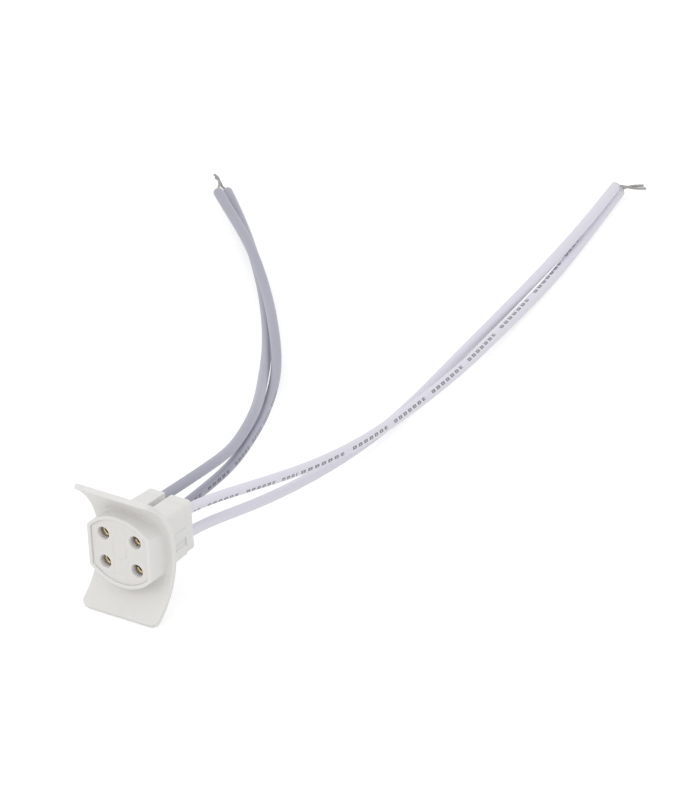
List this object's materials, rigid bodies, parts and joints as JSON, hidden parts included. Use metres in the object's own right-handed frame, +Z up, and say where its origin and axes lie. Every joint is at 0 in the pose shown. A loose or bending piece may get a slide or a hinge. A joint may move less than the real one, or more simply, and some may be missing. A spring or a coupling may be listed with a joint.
{
  "type": "lamp holder",
  "caption": "White moulded lamp holder for the pins of a circular tube's cap, with a collar, a curved saddle and insulated leads from its rear.",
  "frame": {"origin": "centre of the pin pattern, on the face that the lamp's cap meets", "axes": "+X to the right of someone who faces the pin holes, +Y rearwards, the way the leads leave, +Z up"},
  "size_m": [0.11, 0.2045, 0.0282],
  "materials": {
    "housing_plastic": "fine moulded satin",
    "block_plastic": "fine moulded satin",
    "cover_plastic": "fine moulded satin",
    "brass": "pressed",
    "tinned_copper": "tinned",
    "grey_insulation": "extruded satin",
    "white_insulation": "extruded satin"
  },
  "bodies": {
    "root": {"housing": "housing_plastic", "contact_block": "block_plastic", "rear_cover": "cover_plastic", "contact_1": "brass", "contact_2": "brass", "contact_3": "brass", "contact_4": "brass", "conductor_1": "tinned_copper", "conductor_2": "tinned_copper", "conductor_3": "tinned_copper", "conductor_4": "tinned_copper", "lead_1": "grey_insulation", "lead_2": "white_insulation", "lead_3": "grey_insulation", "lead_4": "white_insulation", "bare_end_1": "tinned_copper", "bare_end_2": "tinned_copper", "bare_end_3": "tinned_copper", "bare_end_4": "tinned_copper"}
  },
  "joints": []
}
